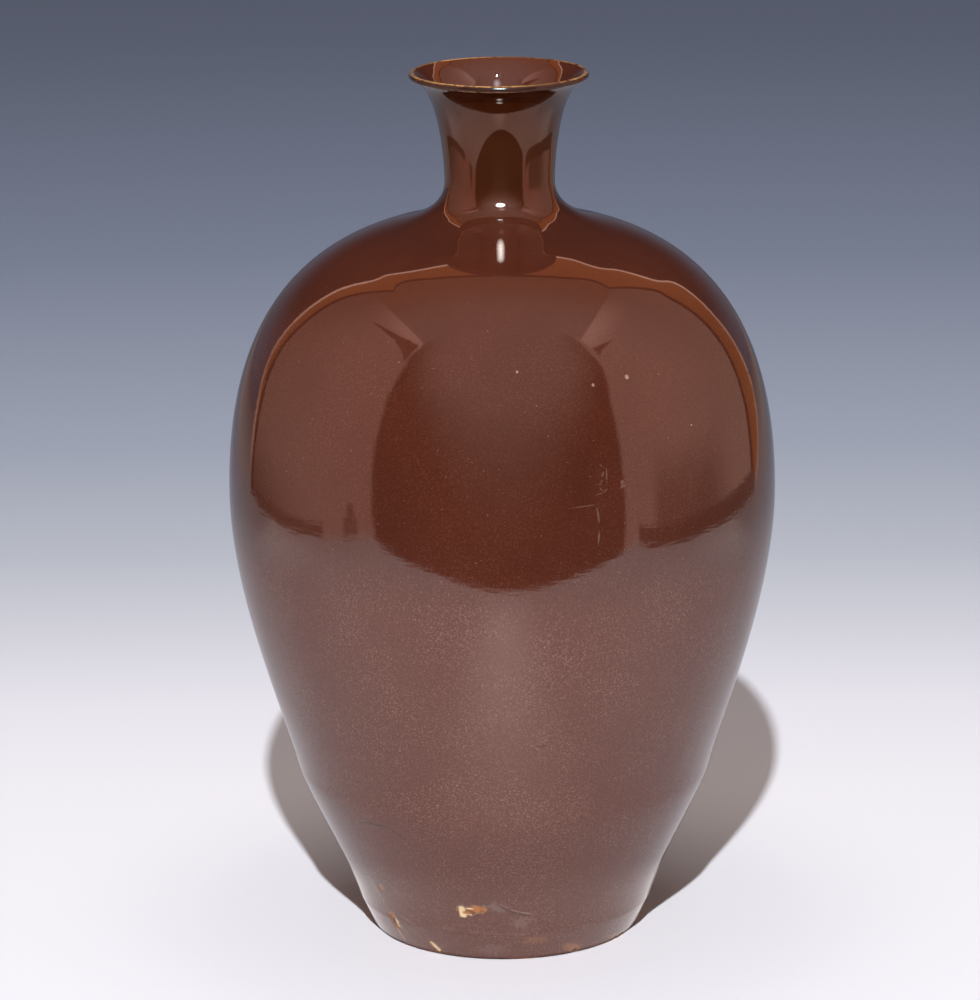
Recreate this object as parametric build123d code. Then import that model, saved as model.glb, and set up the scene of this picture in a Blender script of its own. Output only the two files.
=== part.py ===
from build123d import *
import math
import os

# Heights of the finished outline, in millimetres, each from the point below it
bevel_rise = 11.0       # table to the top of the turned bevel on the foot
lower_rise = 51.7       # bevel to the break in slope, where the lower joint lies
belly_rise = 103.5      # break in slope to the widest point
shoulder_rise = 98.2    # widest point to the start of the neck's root
root_rise = 16.1        # neck's root to the narrowest point of the neck
neck_rise = 39.5        # narrowest point to the crest of the lip

# Radii of the finished outline at the same points
foot_radius = 49.2
bevel_radius = 54.3
break_radius = 76.5
belly_radius = 99.9
shoulder_radius = 39.1
waist_radius = 19.9
lip_radius = 32.4
lip_round = 1.2         # radius of the rounded lip's own section

# Lean of the outline from upright, in degrees, positive where it widens upwards
bevel_lean = 16.6       # just above the bevel
break_lean = 13.9
shoulder_lean = -74.8
flare_lean = 76.0       # underside of the flared mouth, where it meets the lip
mouth_lean = 55.0       # inside of the flared mouth, where it meets the lip

# Fullness of each curved span: lengths of its two handles as shares of its chord
lower_fullness = (0.295, 0.170)
belly_fullness = (0.193, 0.360)
shoulder_fullness = (0.493, 0.349)
root_fullness = (0.375, 0.393)
flare_fullness = (0.167, 0.263)
mouth_fullness = (0.290, 0.285)
floor_fullness = (0.300, 0.400)

# Coats of glaze
outer_coat = 0.5
inner_coat = 0.4
lip_coat = 0.3          # the coats run thin over the lip
bare_foot = 0.8         # height of the unglazed edge above the table

# Clay walls, square to the outline
break_wall = 6.5
belly_wall = 5.0
shoulder_wall = 5.5
neck_wall = 3.8
throat_length = 10.0    # straight cylinder inside the narrowest part of the neck

# Foot and floor
ring_width = 11.0       # flat face that stands on the table
recess_depth = 3.5      # hollow of the base inside that ring
recess_slope = 1.5      # by how much the hollow narrows upwards
floor_thickness = 9.0
heel_width = 20.2       # from the bevel's radius in to the edge of the flat floor

# Luted joints between the thrown sections
slip_gap = 0.6          # thickness of the slip that joins them
tongue = 4.0            # length of the lap in the two wall joints
collar_spread = 8.0     # from the neck's narrowest radius out to the edge of its collar
ledge = 3.0             # width of the shoulder's ledge under the collar

# Heights above the table
break_height = bevel_rise + lower_rise
belly_height = break_height + belly_rise
shoulder_height = belly_height + shoulder_rise
waist_height = shoulder_height + root_rise
height = waist_height + neck_rise
floor_height = recess_depth + floor_thickness

# Centre of the rounded lip's section
lip_centre = (lip_radius - lip_round, height - lip_round)

# Cuts reach this far past the clay
past = 5.0
outside = belly_radius + past
above = height + past


def inset(radius, level, lean, depth):
    """A point of the outline moved into the wall, square to a line of this lean."""
    angle = math.radians(lean)
    return (radius - depth * math.cos(angle), level + depth * math.sin(angle))


def along(point, lean, distance):
    """A point moved up a line of this lean."""
    angle = math.radians(lean)
    return (point[0] + distance * math.sin(angle), point[1] + distance * math.cos(angle))


def curve(start, start_lean, end, end_lean, fullness):
    """Control points of one curved span between two points with given leans."""
    chord = math.dist(start, end)
    lift = along(start, start_lean, fullness[0] * chord)
    settle = along(end, end_lean, -fullness[1] * chord)
    return [start, lift, settle, end]


def height_at(points, radius):
    """Height of a curved span at this radius, on a span that narrows upwards."""
    low, high = 0.0, 1.0
    for _ in range(40):
        t = (low + high) / 2
        weights = ((1 - t) ** 3, 3 * (1 - t) ** 2 * t, 3 * (1 - t) * t**2, t**3)
        if sum(w * p[0] for w, p in zip(weights, points)) > radius:
            low = t
        else:
            high = t
    return sum(w * p[1] for w, p in zip(weights, points))


def lip_point(angle, coat_depth):
    """A point on the rounded lip, under this depth of glaze, at an angle above outward."""
    turn = math.radians(angle)
    radius = lip_round - coat_depth
    return (lip_centre[0] + radius * math.cos(turn), lip_centre[1] + radius * math.sin(turn))


def bevel_line(depth, level):
    """The foot's bevel at this depth under its face, from this level to its top."""
    slope = math.degrees(math.atan2(bevel_radius - foot_radius, bevel_rise))
    foot = (foot_radius - depth / math.cos(math.radians(slope)), 0.0)
    top = inset(bevel_radius, bevel_rise, (slope + bevel_lean) / 2, depth)
    share = level / top[1]
    return [(foot[0] + share * (top[0] - foot[0]), level), top]


def outside_spans(depth, lip_depth, level):
    """The outside from this level of the foot up to the lip, under this depth of glaze."""
    bevel = bevel_line(depth, level)
    break_point = inset(break_radius, break_height, break_lean, depth)
    belly = inset(belly_radius, belly_height, 0, depth)
    shoulder = inset(shoulder_radius, shoulder_height, shoulder_lean, depth)
    waist = inset(waist_radius, waist_height, 0, depth)
    flare = lip_point(-flare_lean, lip_depth)
    return [
        bevel,
        curve(bevel[1], bevel_lean, break_point, break_lean, lower_fullness),
        curve(break_point, break_lean, belly, 0, belly_fullness),
        curve(belly, 0, shoulder, shoulder_lean, shoulder_fullness),
        curve(shoulder, shoulder_lean, waist, 0, root_fullness),
        curve(waist, 0, flare, flare_lean, flare_fullness),
    ]


def inside_spans(depth, lip_depth):
    """The inside from the middle of the floor up to the lip, covered by this depth of glaze."""
    skin = outer_coat + depth
    floor_level = floor_height + depth
    floor_edge = (bevel_radius - heel_width, floor_level)
    break_point = inset(break_radius, break_height, break_lean, skin + break_wall)
    belly = inset(belly_radius, belly_height, 0, skin + belly_wall)
    shoulder = inset(shoulder_radius, shoulder_height, shoulder_lean, skin + shoulder_wall)
    throat_radius = waist_radius - skin - neck_wall
    throat_low = (throat_radius, waist_height - throat_length / 2)
    throat_high = (throat_radius, waist_height + throat_length / 2)
    mouth = lip_point(180 - mouth_lean, lip_depth)
    return [
        [(0.0, floor_level), floor_edge],
        curve(floor_edge, 90, break_point, break_lean, floor_fullness),
        curve(break_point, break_lean, belly, 0, belly_fullness),
        curve(belly, 0, shoulder, shoulder_lean, shoulder_fullness),
        curve(shoulder, shoulder_lean, throat_low, 0, root_fullness),
        [throat_low, throat_high],
        curve(throat_high, 0, mouth, mouth_lean, mouth_fullness),
    ]


def place(point):
    """A point of the section, given as radius and height, in the XZ plane."""
    return Vector(point[0], 0, point[1])


def edges_of(spans):
    """Straight and curved edges of a row of spans."""
    return [
        Line(*map(place, points)) if len(points) == 2 else Bezier(*map(place, points))
        for points in spans
    ]


def lip_arc(depth):
    """The rounded lip under this depth of glaze, from the flare over the crest to the mouth."""
    turns = (-flare_lean, (180 - mouth_lean - flare_lean) / 2, 180 - mouth_lean)
    return ThreePointArc(*[place(lip_point(turn, depth)) for turn in turns])


def joined(*corners):
    """Straight edges through these points of the section."""
    return [Line(place(a), place(b)) for a, b in zip(corners, corners[1:])]


def section(edges):
    """A flat face bounded by these edges."""
    return Face(Wire(edges))


def region(*corners):
    """A flat face bounded by straight lines."""
    return section(joined(*corners, corners[0]))


def turned(face):
    """A ring-shaped solid made by turning a section about the vase's axis."""
    return revolve(face, Axis.Z, 360)


# Surfaces of the layers
finished_outside = outside_spans(0.0, 0.0, bare_foot)
glazed_clay_outside = outside_spans(outer_coat, lip_coat, bare_foot)
clay_outside = outside_spans(outer_coat, lip_coat, 0.0)
clay_inside = inside_spans(0.0, lip_coat)
finished_inside = inside_spans(inner_coat, 0.0)

# Section of the whole clay body: base, outside, lip and inside
clay_foot = clay_outside[0][0]
ring_inner = foot_radius - ring_width
base_line = joined(
    clay_inside[0][0],
    (0.0, recess_depth),
    (ring_inner - recess_slope, recess_depth),
    (ring_inner, 0.0),
    clay_foot,
)
clay = section(base_line + edges_of(clay_outside) + [lip_arc(lip_coat)] + edges_of(clay_inside))


def below_lap(middle, level):
    """Everything under a wall joint, whose tongue stands on the inner half of the wall."""
    return region(
        (-past, -past),
        (outside, -past),
        (outside, level),
        (middle, level),
        (middle, level + tongue),
        (-past, level + tongue),
    )


def slip_of_lap(middle, level):
    """The stepped layer of slip in a wall joint."""
    return region(
        (outside, level),
        (outside, level + slip_gap),
        (middle + slip_gap, level + slip_gap),
        (middle + slip_gap, level + tongue + slip_gap),
        (-past, level + tongue + slip_gap),
        (-past, level + tongue),
        (middle, level + tongue),
        (middle, level),
    )


def inside_collar(gap):
    """The neck's side of the collar joint, grown by this gap."""
    edge = collar_radius + gap
    bore = collar_radius - ledge + gap
    return region(
        (-past, belly_height),
        (bore, belly_height),
        (bore, ledge_height - gap),
        (edge, ledge_height - gap),
        (edge, waist_height),
        (outside, waist_height),
        (outside, above),
        (-past, above),
    )


# Middle of the wall at the two wall joints, and the ledge that carries the neck's collar
break_middle = inset(break_radius, break_height, break_lean, outer_coat + break_wall / 2)[0] - slip_gap / 2
belly_middle = belly_radius - outer_coat - belly_wall / 2 - slip_gap / 2
collar_radius = waist_radius + collar_spread
collar_top = height_at(clay_outside[4], collar_radius)
ledge_bottom = height_at(clay_inside[4], collar_radius - ledge)
ledge_height = (collar_top + ledge_bottom) / 2

# Four thrown sections of clay and the slip in the three joints between them
below_break = below_lap(break_middle, break_height)
break_slip = slip_of_lap(break_middle, break_height)
below_belly = below_lap(belly_middle, belly_height)
belly_slip = slip_of_lap(belly_middle, belly_height)
neck_side = inside_collar(0.0)
neck_and_slip = inside_collar(slip_gap)
sections = {
    "foot_section": clay & below_break,
    "foot_joint_slip": clay & break_slip,
    "belly_section": (clay & below_belly) - below_break - break_slip,
    "belly_joint_slip": clay & belly_slip,
    "shoulder_section": clay - below_belly - belly_slip - neck_and_slip,
    "neck_joint_slip": (clay & neck_and_slip) - neck_side,
    "neck_section": clay & neck_side,
}

# Coats of glaze outside, over the lip and inside
flare_edge = joined(glazed_clay_outside[-1][-1], finished_outside[-1][-1])
mouth_edge = joined(clay_inside[-1][-1], finished_inside[-1][-1])
sections["outer_glaze"] = section(
    edges_of(finished_outside)
    + flare_edge
    + edges_of(glazed_clay_outside)
    + joined(glazed_clay_outside[0][0], finished_outside[0][0])
)
sections["lip_glaze"] = section([lip_arc(0.0), lip_arc(lip_coat)] + flare_edge + mouth_edge)
sections["inner_glaze"] = section(
    edges_of(clay_inside)
    + mouth_edge
    + edges_of(finished_inside)
    + joined(clay_inside[0][0], finished_inside[0][0])
)

os.makedirs("parts", exist_ok=True)
for node, face in sections.items():
    export_step(turned(face), f"parts/{node}.step")
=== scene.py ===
import math

import bpy
from mathutils import Matrix, Vector


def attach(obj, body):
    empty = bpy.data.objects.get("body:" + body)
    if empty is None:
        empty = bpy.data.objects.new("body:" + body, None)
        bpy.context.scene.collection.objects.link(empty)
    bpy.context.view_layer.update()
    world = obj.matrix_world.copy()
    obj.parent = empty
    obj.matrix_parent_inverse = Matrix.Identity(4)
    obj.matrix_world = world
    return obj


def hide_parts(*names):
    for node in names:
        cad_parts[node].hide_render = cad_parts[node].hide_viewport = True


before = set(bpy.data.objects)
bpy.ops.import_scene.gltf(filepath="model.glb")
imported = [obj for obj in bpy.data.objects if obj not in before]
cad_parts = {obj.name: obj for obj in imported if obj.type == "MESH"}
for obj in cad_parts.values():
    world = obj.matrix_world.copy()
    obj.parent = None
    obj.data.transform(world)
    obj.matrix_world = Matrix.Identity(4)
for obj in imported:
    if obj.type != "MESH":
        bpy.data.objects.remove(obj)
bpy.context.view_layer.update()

mm = 0.001

# Outline of the vase in millimetres: heights above the table and radii, as in the part's source
bevel_height, break_height, belly_height = 11.0, 62.7, 166.2
shoulder_height, waist_height, lip_height = 264.4, 280.5, 320.0
foot_radius, bevel_radius, break_radius, belly_radius = 49.2, 54.3, 76.5, 99.9
shoulder_radius, waist_radius, lip_radius, lip_round = 39.1, 19.9, 32.4, 1.2
bevel_lean, break_lean, shoulder_lean, flare_lean, mouth_lean = 16.6, 13.9, -74.8, 76.0, 55.0
lower_fullness, belly_fullness, shoulder_fullness = (0.295, 0.170), (0.193, 0.360), (0.493, 0.349)
root_fullness, flare_fullness = (0.375, 0.393), (0.167, 0.263)
mouth_fullness, floor_fullness = (0.290, 0.285), (0.300, 0.400)

# Coats, walls and foot in millimetres
outer_coat, inner_coat, lip_coat, bare_foot = 0.5, 0.4, 0.3, 0.8
break_wall, belly_wall, shoulder_wall, neck_wall, throat_length = 6.5, 5.0, 5.5, 3.8, 10.0
ring_width, recess_depth, recess_slope, floor_thickness, heel_width = 11.0, 3.5, 1.5, 9.0, 20.2
slip_gap, tongue = 0.6, 4.0
lip_centre = (lip_radius - lip_round, lip_height - lip_round)

# Waves in the walls: how high, how long and how near the axis they fade, in millimetres
unevenness, wave_length, wave_fade, wave_seed = 0.045, 17.0, 12.0, 7

# Turning marks in the hollow of the base, and the rounding of the foot ring's edges, in millimetres
groove_depth, groove_pitch = 0.14, 2.6
recess_round, ring_round, edge_round = 1.2, 0.8, 0.5

# Flaked places on the foot: degrees round from the front, height and radius in millimetres
chips = [
    (-15.9, 22.2, 1.9), (-15.6, 20.0, 1.8), (-13.4, 21.6, 2.0), (-11.0, 22.7, 2.2), (-8.4, 22.7, 1.6),
    (-50.0, 12.4, 1.8), (-48.8, 10.4, 1.9), (-48.6, 8.6, 1.6), (-50.5, 24.3, 1.0),
    (-32.2, 4.6, 1.1), (-30.9, 3.5, 1.2), (-29.7, 2.3, 1.1), (30.5, 1.6, 1.1), (54.0, 0.9, 1.2),
    (59.0, 0.9, 1.0), (112.0, 14.5, 1.6), (168.0, 3.2, 1.3), (-128.0, 2.6, 1.5),
]
chip_depth = 0.40

# Ragged edges of chips: strength, features to the metre, shares of the radius that they span
chip_rag, rags_per_metre, chip_rim, chip_floor = 0.9, 420.0, 1.05, 0.75

# Points closer than this, in millimetres, are welded. Edges over this, in degrees, stay crisp
weld_distance, crisp_corner = 0.002, 38.0


# Outline of the layers
def inset(radius, level, lean, depth):
    """A point of the outline moved into the wall, square to a line of this lean."""
    angle = math.radians(lean)
    return (radius - depth * math.cos(angle), level + depth * math.sin(angle))


def along(point, lean, distance):
    """A point moved up a line of this lean."""
    angle = math.radians(lean)
    return (point[0] + distance * math.sin(angle), point[1] + distance * math.cos(angle))


def curve(start, start_lean, end, end_lean, fullness):
    """Control points of one curved span between two points with given leans."""
    chord = math.dist(start, end)
    lift = along(start, start_lean, fullness[0] * chord)
    settle = along(end, end_lean, -fullness[1] * chord)
    return [start, lift, settle, end]


def lip_point(angle, coat_depth):
    """A point on the rounded lip, under this depth of glaze, at an angle above outward."""
    turn = math.radians(angle)
    radius = lip_round - coat_depth
    return (lip_centre[0] + radius * math.cos(turn), lip_centre[1] + radius * math.sin(turn))


def bevel_line(depth, level):
    """The foot's bevel at this depth under its face, from this level to its top."""
    slope = math.degrees(math.atan2(bevel_radius - foot_radius, bevel_height))
    foot = foot_radius - depth / math.cos(math.radians(slope))
    top = inset(bevel_radius, bevel_height, (slope + bevel_lean) / 2, depth)
    return [(foot + level / top[1] * (top[0] - foot), level), top]


def body_spans(low, low_lean, low_fullness, depths, high):
    """Curved spans from a low point over break, belly and shoulder, at these depths, to a high point."""
    break_point = inset(break_radius, break_height, break_lean, depths[0])
    belly = inset(belly_radius, belly_height, 0, depths[1])
    shoulder = inset(shoulder_radius, shoulder_height, shoulder_lean, depths[2])
    return [
        curve(low, low_lean, break_point, break_lean, low_fullness),
        curve(break_point, break_lean, belly, 0, belly_fullness),
        curve(belly, 0, shoulder, shoulder_lean, shoulder_fullness),
        curve(shoulder, shoulder_lean, high, 0, root_fullness),
    ]


def outside_spans(depth, lip_depth, level):
    """The outside from this level of the foot up to the lip, under this depth of glaze."""
    bevel = bevel_line(depth, level)
    waist = inset(waist_radius, waist_height, 0, depth)
    flare = lip_point(-flare_lean, lip_depth)
    body = body_spans(bevel[1], bevel_lean, lower_fullness, [depth] * 3, waist)
    return [bevel, *body, curve(waist, 0, flare, flare_lean, flare_fullness)]


def inside_spans(depth, lip_depth):
    """The inside from the middle of the floor up to the lip, covered by this depth of glaze."""
    skin = outer_coat + depth
    depths = [skin + wall for wall in (break_wall, belly_wall, shoulder_wall)]
    floor_level = recess_depth + floor_thickness + depth
    floor_edge = (bevel_radius - heel_width, floor_level)
    throat_radius = waist_radius - skin - neck_wall
    throat_low = (throat_radius, waist_height - throat_length / 2)
    throat_high = (throat_radius, waist_height + throat_length / 2)
    mouth = lip_point(180 - mouth_lean, lip_depth)
    return [
        [(0.0, floor_level), floor_edge],
        *body_spans(floor_edge, 90, floor_fullness, depths, throat_low),
        [throat_low, throat_high],
        curve(throat_high, 0, mouth, mouth_lean, mouth_fullness),
    ]


def walk(span, steps, ease=1.0):
    """Points along a span, its last one left out, closer together at its start where ease is over 1."""
    points = []
    for step in range(steps):
        t = (step / steps) ** ease
        cubic = ((1 - t) ** 3, 3 * (1 - t) ** 2 * t, 3 * (1 - t) * t**2, t**3)
        weights = (1 - t, t) if len(span) == 2 else cubic
        points.append(tuple(sum(w * p[axis] for w, p in zip(weights, span)) for axis in (0, 1)))
    return points


def rows_of(spans, steps, eases=None):
    """Points along a row of spans, with the last end."""
    eases = eases or [1.0] * len(spans)
    rows = []
    for span, count, ease in zip(spans, steps, eases):
        rows += walk(span, count, ease)
    return rows + [spans[-1][-1]]


def rounded(before, corner, after, radius, steps=6):
    """Points that round one corner of a section."""
    here = Vector(corner)
    start = here + (Vector(before) - here).normalized() * radius
    end = here + (Vector(after) - here).normalized() * radius
    handle = 0.55
    bend = [tuple(p) for p in (start, start.lerp(here, handle), end.lerp(here, handle), end)]
    return rows_of([bend], [steps])


def cut_below(rows, level):
    """The part of a rising row of points that lies below a level, with its end on that level."""
    kept = []
    for (r0, z0), (r1, z1) in zip(rows, rows[1:]):
        kept.append((r0, z0))
        if z1 >= level:
            share = (level - z0) / (z1 - z0)
            return [*kept, (r0 + share * (r1 - r0), level)]
    return rows


# Node trees
def rgba(colour):
    """What a colour socket takes: another socket, or red, green, blue and full cover."""
    return colour if isinstance(colour, bpy.types.NodeSocket) else (*colour, 1.0)


class Nodes:
    """Adds nodes to a tree and joins them."""

    def __init__(self, tree):
        self.tree = tree

    def add(self, kind, inputs=None, **settings):
        node = self.tree.nodes.new(kind)
        for name, value in settings.items():
            setattr(node, name, value)
        for key, value in (inputs or {}).items():
            self.feed(node.inputs[key], value)
        return node

    def out(self, kind, inputs=None, **settings):
        """The first output of a new node."""
        return self.add(kind, inputs, **settings).outputs[0]

    def feed(self, socket, value):
        if isinstance(value, bpy.types.NodeSocket):
            self.tree.links.new(value, socket)
        else:
            socket.default_value = value

    def math(self, operation, *values):
        return self.out("ShaderNodeMath", dict(enumerate(values)), operation=operation)

    def plus(self, first, second):
        return self.math("ADD", first, second)

    def minus(self, first, second):
        return self.math("SUBTRACT", first, second)

    def rest(self, share):
        """What a share leaves of the whole."""
        return self.minus(1.0, share)

    def times(self, *values):
        product = values[0]
        for value in values[1:]:
            product = self.math("MULTIPLY", product, value)
        return product

    def split(self, vector):
        return self.add("ShaderNodeSeparateXYZ", {0: vector}).outputs

    def joined(self, *values):
        return self.out("ShaderNodeCombineXYZ", dict(enumerate(values)))

    def length(self, vector):
        return self.add("ShaderNodeVectorMath", {0: vector}, operation="LENGTH").outputs["Value"]

    def mix(self, factor, first, second):
        inputs = {0: factor, 6: rgba(first), 7: rgba(second)}
        return self.add("ShaderNodeMix", inputs, data_type="RGBA").outputs[2]

    def ramp(self, value, low, high):
        """0 at low and 1 at high, smooth between, whichever is larger."""
        kind = {"interpolation_type": "SMOOTHSTEP", "clamp": True}
        return self.out("ShaderNodeMapRange", {0: value, 1: low, 2: high}, **kind)


def thrown_ring():
    """Geometry Nodes tree that turns a section about the vase's axis into an uneven, chipped wall."""
    tree = bpy.data.node_groups.new("thrown_ring", "GeometryNodeTree")
    sockets = {
        "Section": "Geometry", "Sectors": "Int", "Crowding": "Float", "Unevenness": "Float",
        "Wave length": "Float", "Chips": "Object", "Chip depth": "Float", "Seed": "Int",
        "Finish": "Material",
    }
    for name, kind in sockets.items():
        tree.interface.new_socket(name, in_out="INPUT", socket_type=f"NodeSocket{kind}")
    tree.interface.new_socket("Ring", in_out="OUTPUT", socket_type="NodeSocketGeometry")
    n = Nodes(tree)
    given = n.add("NodeGroupInput").outputs

    def whole(operation, first, second):
        return n.out("FunctionNodeIntegerMath", {0: first, 1: second}, operation=operation)

    # Grid of one column for each sector and one row for each point of the section
    rows = n.add("GeometryNodeAttributeDomainSize", {0: given["Section"]}).outputs["Point Count"]
    columns = whole("ADD", given["Sectors"], 1)
    grid = n.add("GeometryNodeMeshGrid", {"Vertices X": columns, "Vertices Y": rows}).outputs["Mesh"]
    index = n.out("GeometryNodeInputIndex")
    row, column = whole("MODULO", index, rows), whole("DIVIDE_FLOOR", index, rows)

    # Turn from the front, with the seam at the back and the columns closer together in front
    even = n.minus(n.math("DIVIDE", column, given["Sectors"]), 0.5)
    even = n.times(even, 2 * math.pi)
    turn = n.minus(even, n.times(n.math("SINE", even), given["Crowding"]))

    def sampled(source, place, value, kind):
        inputs = {"Geometry": source, "Value": value, "Index": place}
        return n.add("GeometryNodeSampleIndex", inputs, data_type=kind).outputs["Value"]

    def named(name):
        return n.out("GeometryNodeInputNamedAttribute", {"Name": name}, data_type="FLOAT")

    def worked(kind, geometry, inputs=None, **settings):
        return n.out(kind, {"Geometry": geometry, **(inputs or {})}, **settings)

    position = n.out("GeometryNodeInputPosition")
    point = n.split(sampled(given["Section"], row, position, "FLOAT_VECTOR"))
    shown = sampled(given["Section"], row, named("shown"), "FLOAT")

    def at_radius(radius):
        x = n.times(radius, n.math("SINE", turn))
        y = n.times(radius, n.times(n.math("COSINE", turn), -1.0))
        return n.joined(x, y, point[2])

    # Slow waves in the wall, the same for every layer at one place
    smooth = at_radius(point[0])
    per_metre = n.math("DIVIDE", 1.0, given["Wave length"])
    inputs = {"Vector": smooth, "W": given["Seed"], "Scale": per_metre, "Detail": 2.0}
    waves = n.out("ShaderNodeTexNoise", inputs, noise_dimensions="4D")
    swell = n.times(n.minus(waves, 0.5), 2.0, given["Unevenness"], n.ramp(point[0], 0.0, wave_fade * mm))

    # Flakes broken out of the glaze, ragged at their edges
    flakes = n.add("GeometryNodeObjectInfo", {"Object": given["Chips"]}).outputs["Geometry"]
    nearest = worked("GeometryNodeSampleNearest", flakes, {"Sample Position": smooth})
    centre = sampled(flakes, nearest, position, "FLOAT_VECTOR")
    reach = sampled(flakes, nearest, named("reach"), "FLOAT")
    away = n.add("ShaderNodeVectorMath", {0: smooth, 1: centre}, operation="DISTANCE").outputs["Value"]
    ragged = n.out("ShaderNodeTexNoise", {"Vector": smooth, "Scale": rags_per_metre, "Detail": 2.0})
    ragged = n.times(n.minus(ragged, 0.5), chip_rag)
    away = n.plus(n.math("DIVIDE", away, reach), ragged)
    cover = n.times(n.ramp(away, chip_rim, chip_floor), shown)
    radius = n.minus(n.plus(point[0], swell), n.times(cover, given["Chip depth"]))

    # The wall itself, welded at its seam and poles, with crisp edges and its finish
    chipped = {"Name": "chip", "Value": cover}
    wall = worked("GeometryNodeStoreNamedAttribute", grid, chipped, data_type="FLOAT")
    wall = worked("GeometryNodeSetPosition", wall, {"Position": at_radius(radius)})
    wall = worked("GeometryNodeMergeByDistance", wall, {"Distance": weld_distance * mm})
    wall = worked("GeometryNodeSetShadeSmooth", wall, domain="FACE")
    corner = n.add("GeometryNodeInputMeshEdgeAngle").outputs["Unsigned Angle"]
    sharp = n.math("GREATER_THAN", corner, math.radians(crisp_corner))
    crisp = {"Selection": sharp, "Shade Smooth": False}
    wall = worked("GeometryNodeSetShadeSmooth", wall, crisp, domain="EDGE")
    wall = worked("GeometryNodeRealizeInstances", wall)
    wall = worked("GeometryNodeSetMaterial", wall, {"Material": given["Finish"]})
    n.add("NodeGroupOutput", {"Ring": wall})
    return tree


def placed(name, data):
    """A new object in the scene."""
    thing = bpy.data.objects.new(name, data)
    bpy.context.scene.collection.objects.link(thing)
    return thing


def point_mesh(name, points, marks):
    """A mesh of loose points, each with named numbers."""
    mesh = bpy.data.meshes.new(name)
    mesh.from_pydata(points, [], [])
    for mark, values in marks.items():
        mesh.attributes.new(mark, "FLOAT", "POINT").data.foreach_set("value", values)
    return placed(name, mesh)


outside_rows = rows_of(outside_spans(0.0, 0.0, 0.0), [8, 80, 80, 80, 40, 40])


def outer_radius(level):
    """Radius of the finished outside at this height, in millimetres."""
    for (r0, z0), (r1, z1) in zip(outside_rows, outside_rows[1:]):
        if z0 <= level <= z1:
            return r0 + (r1 - r0) * (level - z0) / max(z1 - z0, 1e-9)
    return outside_rows[-1][0]


def on_outside(degrees, level):
    """A point of the outside, in metres, at degrees round from the front and a height."""
    turn = math.radians(degrees)
    radius = outer_radius(level) * mm
    return (radius * math.sin(turn), -radius * math.cos(turn), level * mm)


chip_reaches = [radius * mm for _, _, radius in chips]
chip_points = point_mesh("chip_points", [on_outside(a, z) for a, z, _ in chips], {"reach": chip_reaches})
ring_tree = thrown_ring()


def thrown(name, section, sectors, finish, crowding=0.0, shown=0):
    """A closed ring, turned from its section. As many of its first rows as shown can be chipped."""
    marks = [1.0] * shown + [0.0] * (len(section) - shown)
    if section[-1] == section[0]:
        marks[-1] = marks[0]
    piece = point_mesh(name, [(r * mm, 0.0, z * mm) for r, z in section], {"shown": marks})
    spin = piece.modifiers.new("spin", "NODES")
    spin.node_group = ring_tree
    sizes = {
        "Sectors": sectors, "Crowding": crowding, "Finish": finish, "Seed": wave_seed,
        "Unevenness": unevenness * mm, "Wave length": wave_length * mm,
        "Chips": chip_points, "Chip depth": chip_depth * mm,
    }
    for socket in ring_tree.interface.items_tree:
        if socket.in_out == "INPUT" and socket.name in sizes:
            spin[socket.identifier] = sizes[socket.name]
    graph = bpy.context.evaluated_depsgraph_get()
    turned = piece.evaluated_get(graph)
    mesh = bpy.data.meshes.new_from_object(turned, preserve_all_data_layers=True, depsgraph=graph)
    piece.modifiers.remove(spin)
    piece.data = mesh
    mesh.name = name
    return piece


# Finishes
class Finish(Nodes):
    """A material, its own place on the piece and the patterns that it is mixed from."""

    def __init__(self, name):
        self.material = bpy.data.materials.new(name)
        self.material.use_nodes = True
        super().__init__(self.material.node_tree)
        self.tree.nodes.clear()
        self.place = self.add("ShaderNodeTexCoord").outputs["Object"]
        self.x, self.y, self.z = self.split(self.place)

    def noise(self, per_metre, detail=2.0, rough=0.5, place=None):
        pattern = {"Scale": per_metre, "Detail": detail, "Roughness": rough}
        return self.out("ShaderNodeTexNoise", {"Vector": place or self.place, **pattern})

    def grains(self, per_metre):
        """Distance from the nearest grain, in grain spacings, and a number of its own for each grain."""
        cells = self.add("ShaderNodeTexVoronoi", {"Vector": self.place, "Scale": per_metre})
        return cells.outputs["Distance"], self.split(cells.outputs["Color"])[0]

    def scaled(self, colour, share):
        """A colour made lighter or darker by a share."""
        inputs = {0: colour, "Scale": share}
        return self.out("ShaderNodeVectorMath", inputs, operation="SCALE")

    def radius(self):
        return self.length(self.joined(self.x, self.y))

    def unrolled(self):
        """The outside laid flat: degrees round from the front, and height in millimetres."""
        turn = self.math("ARCTAN2", self.x, self.times(self.y, -1.0))
        return self.joined(self.times(turn, 180 / math.pi), self.times(self.z, 1 / mm))

    def bump(self, height, depth):
        inputs = {"Height": height, "Distance": depth, "Strength": 1.0}
        return self.out("ShaderNodeBump", inputs)

    def closed(self, surface):
        """The material, finished with this surface."""
        self.add("ShaderNodeOutputMaterial", {0: surface})
        return self.material

    def skin(self, colour, roughness, normal, **more):
        """Closes the material with the surface itself."""
        inputs = {"Base Color": colour, "Roughness": roughness, "Normal": normal}
        return self.closed(self.out("ShaderNodeBsdfPrincipled", inputs | more))

    def fired_gloss(self, colour, roughness, relief, **more):
        """Closes the material with glossy glaze, which has a faint haze round its highlights."""
        glass = {"IOR": 1.52, "Coat Weight": 0.05, "Coat Roughness": 0.35}
        return self.skin(colour, roughness, self.bump(relief, relief_unit), **glass, **more)


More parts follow.
